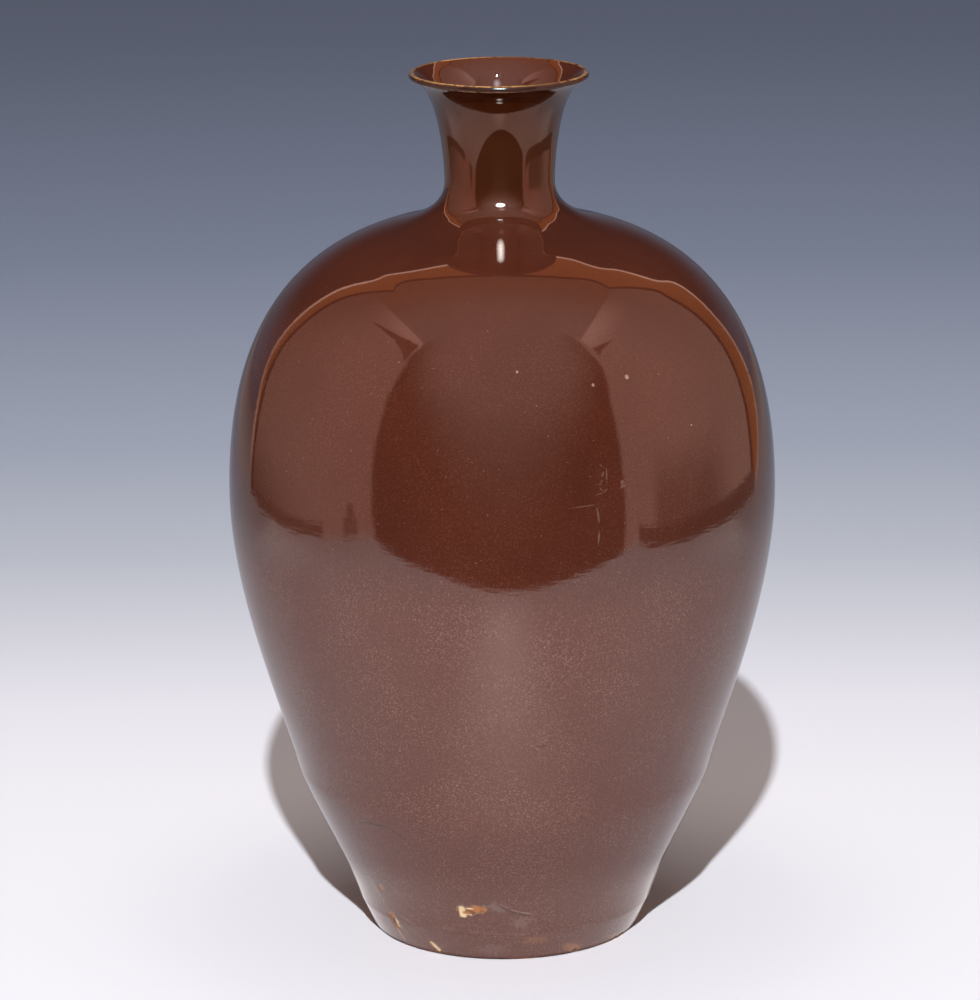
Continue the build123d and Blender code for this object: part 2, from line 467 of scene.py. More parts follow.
class Marks:
    """Patches, strokes and dots on the outside of the vase, each 1 inside and 0 outside."""

    def __init__(self, f):
        self.f = f
        self.surface = f.unrolled()
        self.ragged = f.minus(f.noise(900.0, 3.0), 0.5)

    def patch(self, degrees, level, wide, tall, tilt=0.0, rag=0.9, soft=0.25):
        """An oval with a ragged edge, from its half width and half height in millimetres."""
        f = self.f
        spread = wide / math.radians(outer_radius(level))
        inputs = {
            "Vector": self.surface, "Location": (degrees, level, 0.0),
            "Rotation": (0.0, 0.0, math.radians(tilt)), "Scale": (spread, tall, 1.0),
        }
        inside = f.out("ShaderNodeMapping", inputs, vector_type="TEXTURE")
        away = f.plus(f.length(inside), f.times(self.ragged, rag))
        return f.ramp(away, 1.0 + soft, 1.0 - soft)

    def most(self, masks):
        whole = masks[0]
        for mask in masks[1:]:
            whole = self.f.math("MAXIMUM", whole, mask)
        return whole

    def stroke(self, points, half_width, rag=0.9, soft=0.4):
        """A line through points given as degrees and heights."""
        parts = []
        for (a0, z0), (a1, z1) in zip(points, points[1:]):
            level = (z0 + z1) / 2
            across = (a1 - a0) * math.radians(outer_radius(level))
            length = math.hypot(across, z1 - z0) / 2 + half_width
            tilt = math.degrees(math.atan2(z1 - z0, across))
            parts.append(self.patch((a0 + a1) / 2, level, length, half_width, tilt, rag, soft))
        return self.most(parts)

    def dots(self, places):
        """Round dots, from degrees, height and radius."""
        return self.most([self.patch(a, z, r, r, 0.0, 0.4) for a, z, r in places])


# Colours of the glaze, the clay and what is worn or smoked, with painted bounce light and painted shade
deep_brown, red_brown = (0.060, 0.0140, 0.0068), (0.074, 0.0176, 0.0086)
bounce_lit_brown, flare_shade_brown = (0.104, 0.0240, 0.0116), (0.031, 0.0064, 0.0012)
neck_amber, mouth_red = (0.040, 0.0100, 0.0020), (0.076, 0.0180, 0.0088)
speck_tan, pit_dark = (0.38, 0.25, 0.18), (0.014, 0.005, 0.003)
clay_buff, clay_orange, clay_cream = (0.40, 0.27, 0.17), (0.40, 0.15, 0.045), (0.80, 0.62, 0.36)
clay_brown, smoke_grey, smoke_green = (0.12, 0.050, 0.022), (0.26, 0.195, 0.155), (0.18, 0.150, 0.105)
clay_dark, clay_flash, grit_dark = (0.27, 0.15, 0.08), (0.30, 0.11, 0.04), (0.07, 0.035, 0.02)
slip_buff, slip_dark, foot_edge_dark = (0.46, 0.34, 0.24), (0.34, 0.22, 0.14), (0.030, 0.014, 0.009)
thin_gold, thin_tan, thin_dark = (0.50, 0.27, 0.095), (0.40, 0.23, 0.12), (0.030, 0.0095, 0.0055)

# Dark pits and tan dots in the glaze: degrees round from the front, height and radius in millimetres
pits = [
    (-4.1, 140.2, 0.30), (-3.7, 138.3, 0.28), (-2.3, 138.0, 0.24), (-6.4, 137.1, 0.26),
    (9.5, 117.5, 0.36), (35.3, 99.4, 0.42), (62.1, 80.2, 0.40), (-35.7, 109.9, 0.32),
    (-22.4, 134.5, 0.30), (33.9, 13.3, 0.45),
]
tan_dots = [(29.5, 225.4, 0.75), (20.8, 224.2, 0.50), (3.5, 229.7, 0.40), (44.0, 206.0, 0.35)]

# Places with orange and cream clay in the chips: degrees, height, half width and half height
orange_spots = [
    (-10.6, 22.9, 1.6, 1.7), (-7.6, 22.7, 1.5, 0.7), (-50.0, 12.6, 1.2, 1.3), (-50.5, 24.3, 0.8, 1.1),
]
cream_spots = [
    (-16.0, 22.4, 1.2, 1.2), (-16.5, 20.9, 0.6, 2.0), (-15.7, 19.4, 1.1, 0.8),
    (-13.2, 22.7, 1.5, 0.35), (-13.6, 20.0, 1.2, 0.35), (-48.3, 9.6, 0.8, 1.9),
]

# Wear along the bevel's top, and scuffs with their half width: points are degrees and heights
bevel_wear = [
    (-44.7, 13.9), (-35.5, 10.9), (-26.0, 13.0), (-16.3, 12.6), (-2.3, 12.0), (9.2, 11.7), (40.0, 11.2),
]
scuff_lines = [
    ([(19.2, 184.4), (19.5, 176.0), (19.3, 168.5)], 0.20),
    ([(13.6, 183.4), (19.2, 184.4)], 0.16),
    ([(20.3, 198.3), (21.0, 195.9), (20.5, 192.8), (19.9, 190.4), (20.6, 188.2), (19.1, 187.3)], 0.16),
    ([(21.6, 198.0), (21.5, 189.5), (20.8, 187.8)], 0.14, 0.8),
]

# Heights in metres over which the glaze turns grainy with painted glints, lighter with painted bounce
# light or wiped downwards, and upwards clear, smooth, amber, dark with painted shade under the lip, or
# warm in its gloss
grain_glint_bounce_span, wiped_span, clear_span = (0.170, 0.138), (0.205, 0.170), (0.225, 0.250)
smooth_span, amber_span = (0.282, 0.296), (0.266, 0.284)
flare_shade_span, warm_span = (0.296, 0.311), (0.262, 0.282)

# Patterns of the glaze in features to the metre, the wiped lines along each axis
clouds_per_metre, grain_per_metre, drifts_per_metre, peel_per_metre = 24.0, 1600.0, 48.0, 600.0
wiped_lines = (110.0, 110.0, 760.0)

# Tan specks: cells to the metre, share of cells without one, radius in cells and strength
specks = [(420.0, 0.97, 0.12, 0.80), (760.0, 0.97, 0.17, 0.70)]

# Pinholes: cells to the metre, share of cells without one, outer and inner radius in cells
holes_per_metre, holes_without, hole_rim, hole_floor = 80.0, 0.72, 0.030, 0.016

# Relief of the glaze: its unit in metres, and depth of holes and of bare clay in that unit
relief_unit, hole_depth, clay_relief = 0.000001, 40.0, 60.0


def glaze_ground(f):
    """The iron glaze with clouds, grain, specks and pinholes, lighter low down with painted bounce light
    and painted glints. Gives colour, roughness and relief.
    """
    low, high = f.ramp(f.z, *grain_glint_bounce_span), f.ramp(f.z, *clear_span)
    clouds = f.noise(clouds_per_metre, 4.0, 0.55)
    grain = f.noise(grain_per_metre, 3.0, 0.65)
    colour = f.mix(f.ramp(clouds, 0.25, 0.75), deep_brown, red_brown)
    # Lighter brown low down is painted light, standing in for light bounced up from the bright floor
    colour = f.mix(f.times(low, 0.8), colour, bounce_lit_brown)
    liveliness = f.minus(0.7, f.times(high, 0.45))
    colour = f.scaled(colour, f.plus(1.0, f.times(f.minus(grain, 0.5), liveliness)))
    drift = f.ramp(f.noise(drifts_per_metre, 3.0), 0.30, 0.66)
    drift = f.plus(0.4, f.times(drift, 0.6))
    # The tan grain grows low down, partly real grain and partly painted glints of the bright floor
    grain_and_glints = f.minus(f.plus(0.05, f.times(low, 0.20)), f.times(high, 0.035))
    colour = f.mix(f.times(f.ramp(grain, 0.50, 0.66), grain_and_glints, drift), colour, speck_tan)
    # Specks grow in number low down, partly real specks and partly painted glints of the bright floor
    for per_metre, without, size, strength in specks:
        away, lot = f.grains(per_metre)
        chosen = f.math("GREATER_THAN", lot, f.minus(without, f.times(low, 0.55)))
        speck = f.times(f.ramp(away, size, 0.4 * size), chosen, drift, f.rest(f.times(high, 0.6)))
        colour = f.mix(f.times(speck, lot, strength), colour, speck_tan)
    away, lot = f.grains(holes_per_metre)
    hole = f.times(f.ramp(away, hole_rim, hole_floor), f.math("GREATER_THAN", lot, holes_without))
    colour = f.mix(f.times(hole, 0.85), colour, pit_dark)
    rough = f.plus(0.03, f.times(f.noise(310.0, 3.0), 0.05))
    rough = f.times(rough, f.rest(f.times(high, 0.30)))
    peel = f.plus(f.times(f.noise(peel_per_metre, 2.0), 12.0), f.times(grain, 4.0))
    smooth = f.minus(0.93, f.times(f.ramp(f.z, *smooth_span), 0.18))
    lines = f.out("ShaderNodeVectorMath", {0: f.place, 1: wiped_lines}, operation="MULTIPLY")
    wiped = f.times(f.noise(1.0, 2.0, 0.5, lines), f.ramp(f.z, *wiped_span), 22.0)
    peel = f.times(f.plus(peel, wiped), f.rest(f.times(high, smooth)))
    return colour, rough, f.minus(peel, f.times(hole, hole_depth))


def lip_turn(f):
    """Degrees round the lip's own section: 0 is outward and 90 is the crest."""
    out = f.minus(f.radius(), lip_centre[0] * mm)
    up = f.minus(f.z, lip_centre[1] * mm)
    return f.times(f.math("ARCTAN2", up, out), 180 / math.pi)


def foot_wear(f, marks, colour):
    """Smoke, smears and a worn bevel on the lower wall."""
    broken = f.ramp(f.noise(90.0, 3.0), 0.35, 0.65)
    worn = [
        (marks.patch(-3.4, 23.9, 3.6, 1.9, -15.0, 3.2, 0.6), 0.26, smoke_grey),
        (marks.patch(5.9, 16.8, 3.0, 2.8, 0.0, 3.2, 0.6), 0.24, smoke_grey),
        (marks.patch(-5.4, 4.7, 4.4, 2.2, 0.0, 3.4, 0.8), 0.16, smoke_grey),
        (marks.patch(-54.8, 22.5, 2.0, 6.8, 18.0, 2.2, 0.6), 0.32, smoke_green),
        (marks.patch(11.5, 8.6, 3.6, 1.6, 0.0, 2.4, 0.7), 0.20, clay_orange),
        (marks.patch(29.0, 2.6, 4.0, 1.8, -20.0, 2.2, 0.6), 0.42, clay_orange),
        (marks.patch(56.0, 0.8, 7.0, 1.2, 0.0, 2.0, 0.6), 0.45, clay_orange),
        (f.times(marks.stroke(bevel_wear, 0.55, 1.2, 0.7), broken), 0.20, smoke_grey),
        (marks.stroke([(-44.1, 28.0), (-41.2, 23.3)], 0.45, 1.2, 0.6), 0.22, smoke_grey),
        (marks.stroke([(-49.5, 7.2), (-48.3, 3.1)], 0.8, 1.6, 0.5), 0.60, clay_orange),
    ]
    for mask, strength, tint in worn:
        colour = f.mix(f.times(mask, strength), colour, tint)
    return colour


def flaked_clay(f, marks):
    """The clay that shows in the chips: brown, with cream and orange places."""
    clay = f.mix(f.ramp(f.noise(420.0, 3.0), 0.38, 0.62), clay_brown, clay_orange)
    orange = marks.most([marks.patch(*spot) for spot in orange_spots])
    flake = marks.stroke([(-32.8, 5.0), (-29.2, 1.8)], 0.7)
    cream = marks.most([*[marks.patch(*spot) for spot in cream_spots], flake])
    clay = f.mix(f.times(orange, 0.85), clay, clay_orange)
    return f.mix(f.times(cream, 0.9), clay, clay_cream)


def hair_marks(f, marks, colour):
    """The crack beside the chip, scratches, pits and dots."""
    crack = marks.stroke([(-2.3, 24.4), (0.6, 22.6), (3.8, 20.8), (8.4, 20.0)], 0.24, 0.5)
    crack_lip = marks.stroke([(1.8, 22.9), (5.0, 21.6), (9.4, 20.7)], 0.26, 0.5)
    dark_scratch = marks.stroke([(-45.9, 54.3), (-34.8, 56.0), (-28.8, 48.8)], 0.40)
    nick = marks.stroke([(7.9, 93.2), (9.7, 94.0)], 0.35)
    rub = marks.patch(25.0, 190.0, 0.8, 1.2, 0.0, 2.5)
    scuffs = marks.most([*[marks.stroke(*line) for line in scuff_lines], rub])
    scuffs = f.times(scuffs, f.ramp(f.noise(800.0, 2.0), 0.26, 0.52))
    colour = f.mix(f.times(crack_lip, 0.35), colour, speck_tan)
    colour = f.mix(f.times(scuffs, 0.22), colour, speck_tan)
    pit = marks.dots(pits)
    dark = marks.most([crack, pit, f.times(dark_scratch, 0.5), f.times(nick, 0.7)])
    colour = f.mix(f.times(dark, 0.85), colour, pit_dark)
    colour = f.mix(f.times(marks.dots(tan_dots), 0.7), colour, speck_tan)
    return colour, f.math("MAXIMUM", crack, pit)


def brown_glaze():
    """The coat outside: amber on the neck, darker with painted shade under the lip, worn and flaked to
    the clay at the foot.
    """
    f = Finish("brown_glaze")
    colour, rough, relief = glaze_ground(f)
    marks = Marks(f)
    colour = f.mix(f.times(f.ramp(f.z, *amber_span), 0.8), colour, neck_amber)
    # Painted shade: the flare under the lip is darker
    colour = f.mix(f.ramp(f.z, *flare_shade_span), colour, flare_shade_brown)
    colour = foot_wear(f, marks, colour)
    colour, hollows = hair_marks(f, marks, colour)
    chip = f.add("ShaderNodeAttribute", attribute_name="chip").outputs["Fac"]
    bare = f.ramp(f.plus(chip, f.times(marks.ragged, 0.5)), 0.35, 0.60)
    edge = f.times(f.ramp(chip, 0.02, 0.30), f.rest(bare))
    colour = f.mix(f.times(edge, 0.6), colour, thin_tan)
    colour = f.mix(bare, colour, flaked_clay(f, marks))
    rough = f.plus(rough, f.times(bare, 0.6))
    relief = f.minus(relief, f.times(hollows, hole_depth))
    relief = f.plus(relief, f.times(bare, f.noise(1800.0, 3.0), clay_relief))
    gloss = f.mix(f.ramp(f.z, *warm_span), (1.0, 0.96, 0.94), (1.0, 0.60, 0.48))
    return f.fired_gloss(colour, rough, relief, **{"Specular Tint": gloss})


def thin_lip_glaze():
    """The coat over the lip: dark on the rounding, drawn thin and golden in patches along both edges."""
    f = Finish("thin_lip_glaze")
    colour, rough, relief = glaze_ground(f)
    wander = f.times(f.minus(f.noise(140.0, 3.0), 0.5), 30.0)
    turn = f.plus(lip_turn(f), wander)
    middle = f.times(f.ramp(turn, -50.0, -25.0), f.ramp(turn, 75.0, 35.0))
    inner = f.times(f.ramp(turn, 38.0, 58.0), f.ramp(turn, 140.0, 112.0))
    under = f.times(f.ramp(turn, -36.0, -48.0), f.ramp(turn, -84.0, -68.0))
    fleck = f.ramp(f.noise(420.0, 3.0), 0.24, 0.56)
    patchy = f.plus(0.3, f.times(f.ramp(f.noise(55.0, 2.0), 0.35, 0.60), 0.7))
    colour = f.mix(middle, colour, thin_dark)
    colour = f.mix(f.times(inner, fleck, patchy, 0.95), colour, thin_gold)
    colour = f.mix(f.times(under, fleck, patchy, 0.8), colour, thin_tan)
    gloss = f.minus(0.5, f.times(middle, 0.22))
    return f.fired_gloss(colour, rough, relief, **{"Specular IOR Level": gloss})


def inner_brown_glaze():
    """The coat inside, redder in clouds than the coat outside."""
    f = Finish("inner_brown_glaze")
    colour, rough, relief = glaze_ground(f)
    colour = f.mix(f.times(f.ramp(f.noise(30.0, 3.0), 0.3, 0.75), 0.6), colour, mouth_red)
    return f.fired_gloss(colour, rough, relief)


def turned_clay(name, light, dark):
    """Fired clay with turning rings, grit and stain, orange in some patches and dark in others beside
    the glaze.
    """
    f = Finish(name)
    grain = f.noise(900.0, 4.0, 0.65)
    stain = f.noise(38.0, 4.0, 0.6)
    rings_per_metre, relief_height = 620.0, 0.00004
    around = f.joined(f.times(f.radius(), rings_per_metre), f.times(f.z, rings_per_metre))
    rings = f.noise(1.0, 2.0, 0.5, around)
    colour = f.mix(f.ramp(stain, 0.3, 0.72), light, dark)
    colour = f.mix(f.times(f.ramp(rings, 0.45, 0.7), 0.35), colour, tuple(0.6 * c for c in dark))
    # The clay beside the glaze and the floor is orange in some patches and dark in others
    near_glaze = f.times(f.ramp(f.radius(), 0.041, 0.0485), f.ramp(f.z, 0.004, 0.0))
    orange_or_dark = f.mix(f.ramp(stain, 0.42, 0.58), foot_edge_dark, clay_flash)
    colour = f.mix(f.times(near_glaze, 0.85), colour, orange_or_dark)
    away, lot = f.grains(420.0)
    grit = f.times(f.ramp(away, 0.30, 0.18), f.math("GREATER_THAN", lot, 0.7))
    colour = f.mix(f.times(grit, 0.7), colour, grit_dark)
    rough = f.plus(0.62, f.times(grain, 0.28))
    normal = f.bump(f.plus(grain, f.times(rings, 2.0)), relief_height)
    return f.skin(colour, rough, normal)


finishes = {
    "brown_glaze": brown_glaze(),
    "thin_lip_glaze": thin_lip_glaze(),
    "inner_brown_glaze": inner_brown_glaze(),
    "body_clay": turned_clay("body_clay", clay_buff, clay_dark),
    "luting_slip": turned_clay("luting_slip", slip_buff, slip_dark),
}


# Coats of glaze and the foot, turned from their sections
def outer_section():
    """Section of the coat outside, and how many of its rows face outwards."""
    rows, eases = [20, 66, 46, 50, 24, 36], [1.0, 1.25, 1.0, 1.0, 1.0, 1.0]
    face = rows_of(outside_spans(0.0, 0.0, bare_foot), rows, eases)
    back = rows_of(outside_spans(outer_coat, lip_coat, bare_foot), [2, 5, 7, 9, 10, 16])
    return face + back[::-1] + face[:1], len(face)


def lip_section():
    """Section of the thin coat over the lip."""
    steps = 28
    sweep = 180 - mouth_lean + flare_lean
    turns = [-flare_lean + step * sweep / steps for step in range(steps + 1)]
    face = [lip_point(turn, 0.0) for turn in turns]
    back = [lip_point(turn, lip_coat) for turn in turns[::-2]]
    return face + back + face[:1]


def inner_section():
    """Section of the coat inside, from floor to lip."""
    face = rows_of(inside_spans(inner_coat, 0.0), [14, 34, 40, 50, 30, 8, 40])
    back = rows_of(inside_spans(0.0, lip_coat), [3, 9, 9, 16, 12, 2, 10])
    return back + face[::-1]


def foot_section():
    """Section of the thrown foot: grooved hollow, ring, outside, lap of the joint and inside."""
    ring_inner = (foot_radius - ring_width, 0.0)
    recess_edge = (ring_inner[0] - recess_slope, recess_depth)
    outside = rows_of(outside_spans(outer_coat, lip_coat, 0.0)[:2], [8, 14])
    inside = rows_of(inside_spans(0.0, lip_coat)[:3], [8, 24, 24])
    wall_middle = inset(break_radius, break_height, break_lean, outer_coat + break_wall / 2)
    middle = wall_middle[0] - slip_gap / 2
    points_per_groove = 6
    steps = int((recess_edge[0] - recess_round) / groove_pitch * points_per_groove)
    hollow = []
    for step in range(steps + 1):
        wave = 0.5 - 0.5 * math.cos(2 * math.pi * step / points_per_groove)
        hollow.append((step * groove_pitch / points_per_groove, recess_depth + groove_depth * wave))
    return [
        *hollow,
        *rounded((0.0, recess_depth), recess_edge, ring_inner, recess_round),
        *rounded(recess_edge, ring_inner, outside[0], ring_round),
        *rounded(ring_inner, outside[0], outside[1], edge_round),
        *cut_below(outside[1:], break_height),
        (middle, break_height),
        (middle, break_height + tongue),
        *cut_below(inside, break_height + tongue)[::-1],
    ]


# Pieces: name, node, slot, section, sectors, crowding in front and rows that can be chipped
front_crowding = 0.45
coat, coat_face = outer_section()
pieces = [
    ("outer_glaze_coat", "outer_glaze", "brown_glaze", coat, 330, front_crowding, coat_face),
    ("lip_glaze_coat", "lip_glaze", "thin_lip_glaze", lip_section(), 384, 0.0, 0),
    ("inner_glaze_coat", "inner_glaze", "inner_brown_glaze", inner_section(), 300, 0.0, 0),
    ("foot", "foot_section", "body_clay", foot_section(), 240, 0.0, 0),
]
for name, node, slot, section, sectors, crowding, face in pieces:
    piece = thrown(name, section, sectors, finishes[slot], crowding, face)
    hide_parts(node)
    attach(piece, "root")

for node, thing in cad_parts.items():
    if node.endswith("section") or node.endswith("slip"):
        thing.data.materials.clear()
        thing.data.materials.append(finishes["luting_slip" if node.endswith("slip") else "body_clay"])

bpy.data.objects.remove(chip_points)

# Camera: the photograph's view, from above and in front, turned a little so that the vase leans left
view_distance, view_height, view_aside = 1.6615, 0.6065, -0.0045
view_pitch, view_roll, view_end = 15.01, 0.5, 50.0
picture_height, focal_pixels, sensor_height = 1000.0, 4687.0, 36.0
camera = placed("camera", bpy.data.cameras.new("camera"))
camera.data.sensor_fit = "VERTICAL"
camera.data.sensor_height = sensor_height
camera.data.lens = focal_pixels * sensor_height / picture_height
camera.data.clip_end = view_end
pitch = Matrix.Rotation(math.radians(90 - view_pitch), 4, "X")
roll = Matrix.Rotation(math.radians(-view_roll), 4, "Z")
camera.matrix_world = Matrix.Translation((view_aside, -view_distance, view_height)) @ pitch @ roll
bpy.context.scene.camera = camera

# Studio: pale floor that greys with distance in painted shade, a key lamp in front and glowing cloths of
# painted light that only the gloss shows
backdrop_grey, backdrop_dark = (0.117, 0.133, 0.175), (0.022, 0.022, 0.026)
key_tint, fill_tint, spark_tint = (0.91, 0.93, 1.0), (1.0, 0.84, 0.80), (0.68, 0.92, 1.0)


def stage_mesh(name, points, faces, finish):
    """A part of the studio, from flat faces."""
    mesh = bpy.data.meshes.new(name)
    mesh.from_pydata(points, [], faces)
    mesh.materials.append(finish)
    thing = placed(name, mesh)
    return thing


# Colour of the floor at each depth behind the vase, in metres: its greying is painted shade, standing in
# for light falling off
floor_shades = [
    (0.0, (0.90, 0.91, 0.93)), (0.15, (0.91, 0.92, 0.94)), (0.26, (0.87, 0.88, 0.92)),
    (0.34, (0.77, 0.79, 0.84)), (0.50, (0.575, 0.625, 0.68)), (0.70, (0.45, 0.505, 0.60)),
    (1.20, (0.305, 0.36, 0.465)), (2.0, (0.235, 0.275, 0.375)),
]
floor_depth, floor_reach = 2.0, 9.0
floor_shade_beside, floor_glow_under = (0.74, 0.65, 0.62), (0.97, 0.97, 0.98)


def floor_paper():
    """Pale paper, white near the vase and brighter by its foot with painted light, grey behind it and
    beside it with painted shade, passing into the backdrop far away.
    """
    f = Finish("floor_paper")
    fibre = f.times(f.minus(f.noise(700.0, 3.0), 0.5), 0.02)
    depth = f.plus(f.y, fibre)
    stops = f.add("ShaderNodeValToRGB", {0: f.times(depth, 1 / floor_depth)})
    bar = stops.color_ramp
    bar.elements[0].color = rgba(floor_shades[0][1])
    bar.elements[1].color = rgba(floor_shades[-1][1])
    for place, shade in floor_shades[1:-1]:
        bar.elements.new(place / floor_depth).color = rgba(shade)
    # Paper far to the sides is darker: painted shade that dims the floor's reflection at the vase's
    # edges
    side = f.ramp(f.math("ABSOLUTE", f.x), 0.40, 0.75)
    shade = f.mix(side, stops.outputs[0], floor_shade_beside)
    # Paper next to the foot is whiter: painted light, standing in for light that the glaze throws on it
    shade = f.mix(f.ramp(f.radius(), 0.115, 0.060), shade, floor_glow_under)
    # In the gloss the paper behind the vase is darker: painted shade in the reflection
    mirrored = f.add("ShaderNodeLightPath").outputs["Is Glossy Ray"]
    shade = f.scaled(shade, f.rest(f.times(mirrored, f.ramp(f.y, -0.02, 0.23), 0.27)))
    paper = f.out("ShaderNodeBsdfDiffuse", {"Color": shade})
    far = f.out("ShaderNodeEmission", {"Color": rgba(backdrop_grey), "Strength": 1.0})
    return f.closed(f.out("ShaderNodeMixShader", {0: f.ramp(f.radius(), 2.0, 5.0), 1: paper, 2: far}))


corners = ((-1, -1), (1, -1), (1, 1), (-1, 1))
floor_corners = [(x * floor_reach, y * floor_reach, 0.0) for x, y in corners]
stage_mesh("floor", floor_corners, [(0, 1, 2, 3)], floor_paper())


def card(name, points, faces, paint):
    """A glowing studio cloth of painted light that shows in the gloss of the glaze and nowhere else."""
    f = Finish(name)
    colour, see_through = paint(f)
    surface = f.out("ShaderNodeEmission", {"Color": rgba(colour), "Strength": 1.0})
    if see_through:
        clear = f.out("ShaderNodeBsdfTransparent")
        surface = f.out("ShaderNodeAddShader", {0: clear, 1: surface})
    thing = stage_mesh(name, points, faces, f.closed(surface))
    for rays in ("camera", "diffuse", "shadow", "transmission"):
        setattr(thing, f"visible_{rays}", False)


def sheet(name, points, paint):
    """One flat cloth with this outline."""
    card(name, points, [tuple(range(len(points)))], paint)


def strip(name, first, second, paint):
    """A cloth between two lines of as many points."""
    count = len(first)
    faces = [(i, i + 1, count + i + 1, count + i) for i in range(count - 1)]
    card(name, [*first, *second], faces, paint)


def flow(points, steps=5):
    """Points along a smooth line through the given ones."""
    ends = [points[0], *points, points[-1]]
    line = []
    for a, b, c, d in zip(ends, ends[1:], ends[2:], ends[3:]):
        for step in range(steps):
            t = step / steps
            first, second = t * (2 - t) * t - t, 2 + t * t * (3 * t - 5)
            weights = (first, second, t * (1 + t * (4 - 3 * t)), t * t * (t - 1))
            near = zip(a, b, c, d)
            line.append(tuple(0.5 * sum(w * p for w, p in zip(weights, four)) for four in near))
    return [*line, points[-1]]


# Tent of cloths, in metres: depth and height on a wall, aside and depth on the roof
tent_side, tent_top, gleam_height, gleam_back = 0.70, 1.45, 0.0015, 0.30
left_edge = flow([
    (0.44, 0.0), (0.49, 0.18), (0.57, 0.34), (0.575, 0.58), (0.655, 0.95), (0.72, 1.27), (0.85, 1.45),
])
left_seam = flow([
    (0.44, 0.0), (0.425, 0.17), (0.46, 0.34), (0.44, 0.60), (0.475, 0.95), (0.46, 1.27), (0.45, 1.45),
])
right_edge = flow([
    (0.50, 0.0), (0.73, 0.11), (0.765, 0.20), (0.705, 0.46), (0.815, 0.79), (0.74, 1.0), (0.96, 1.45),
])
right_seam = flow([
    (0.42, 0.0), (0.44, 0.10), (0.47, 0.30), (0.475, 0.54), (0.49, 0.79), (0.535, 0.96), (0.47, 1.45),
])
roof_edge = flow([
    (-0.70, 0.85), (-0.50, 0.745), (-0.30, 0.73), (0.0, 0.83), (0.30, 0.94), (0.53, 0.85), (0.70, 0.96),
])
roof_seam = flow([
    (-0.70, 0.45), (-0.60, 0.555), (-0.34, 0.465), (0.0, 0.41),
    (0.34, 0.455), (0.54, 0.52), (0.70, 0.47),
])
front_line = flow([(-0.70, -0.52), (-0.30, -0.48), (-0.01, -0.42), (0.24, -0.435), (0.70, -0.47)])
edge_width, seam_width, hem_gap = 0.036, 0.040, 0.002
# Folds in the wall cloths: dark sheets that are painted shadows of the folds
left_fold_shadow = flow([(0.06, 0.99), (-0.08, 1.02), (-0.24, 1.06), (-0.40, 1.04), (-0.50, 0.98)])
left_fold_shadow += flow([(-0.50, 1.30), (-0.39, 1.245), (-0.25, 1.155), (-0.08, 1.065), (0.05, 1.0)])
right_fold_shadow = [(-0.22, 0.99), (-0.36, 1.03), (-0.46, 1.02), (-0.46, 1.15), (-0.36, 1.085)]
board_line = flow([
    (0.60, -0.43), (0.59, -0.33), (0.625, -0.23), (0.66, -0.12),
    (0.694, 0.0), (0.697, 0.17), (0.685, 0.33), (0.66, 0.46),
])
board_height = 0.048
roof_back, roof_front = (0.60, 0.29, 0.18), (0.86, 0.64, 0.58)
left_back, left_front = (0.54, 0.28, 0.21), (1.40, 0.79, 0.67)
right_back, right_front = (0.70, 0.40, 0.31), (1.50, 0.90, 0.76)
band_orange, edge_white, gleam_white = (1.10, 0.33, 0.11), (3.4, 1.95, 1.5), (0.97, 0.88, 0.84)
seam_shadow_dark, fold_shadow_dark, board_dark = (0.02, 0.012, 0.010), (0.22, 0.11, 0.085), (0.20, 0.12, 0.10)
front_dark, front_glow = (0.012, 0.010, 0.010), (0.92, 0.70, 0.64)


def roof_cloth(f):
    colour = f.mix(f.ramp(f.y, 0.45, -0.42), roof_back, roof_front)
    return f.scaled(colour, f.plus(1.0, f.times(f.ramp(f.x, 0.0, 0.6), 0.14))), False


def wall_cloth(f, back, front, shade, top):
    """Cloth of a wall: bright in front and in its upper corner, dim behind, under the roof's cloth."""
    cloth = f.mix(f.ramp(f.y, 0.50, -0.25), back, front)
    corner = f.times(f.ramp(f.z, 0.98, 1.30), f.ramp(f.y, 0.45, -0.40), 0.75)
    cloth = f.scaled(cloth, f.minus(f.plus(1.0, corner), shade))
    return f.mix(f.ramp(top, -0.012, 0.012), cloth, roof_cloth(f)[0]), False


def left_cloth(f):
    """The left wall, shaded low at the back, with a dark strip and a post at its foot."""
    back_shade = f.times(f.ramp(f.z, 0.17, 0.0), f.ramp(f.y, -0.25, 0.35), 0.6)
    dark_strip = f.times(f.ramp(f.z, 0.040, 0.028), f.ramp(f.y, -0.21, -0.17), 0.72)
    middle = f.math("ABSOLUTE", f.plus(f.y, 0.375))
    post = f.math("MAXIMUM", f.times(f.ramp(middle, 0.054, 0.044), f.ramp(f.z, 0.064, 0.054)),
                  f.times(f.ramp(middle, 0.028, 0.018), f.ramp(f.z, 0.104, 0.090)))
    shade = f.math("MAXIMUM", f.math("MAXIMUM", back_shade, dark_strip), f.times(post, 0.65))
    top = f.plus(f.z, f.minus(f.times(f.y, 0.23), 1.285))
    return wall_cloth(f, left_back, left_front, shade, top)


def right_cloth(f):
    """The right wall, shaded low in front of the middle."""
    shade = f.times(f.ramp(f.z, 0.30, 0.06), f.ramp(f.y, 0.25, -0.05), f.ramp(f.y, -0.42, -0.32), 0.66)
    return wall_cloth(f, right_back, right_front, shade, f.minus(f.z, 1.395))


def warm_band(f):
    return f.scaled(band_orange, f.plus(0.55, f.times(f.ramp(f.z, 0.30, 1.20), 0.45))), False


def bright_edge(f):
    return f.scaled(edge_white, f.plus(0.32, f.times(f.ramp(f.z, 0.25, 1.20), 0.68))), False


def plain(colour):
    """Cloth of one colour."""
    return lambda f: (colour, False)


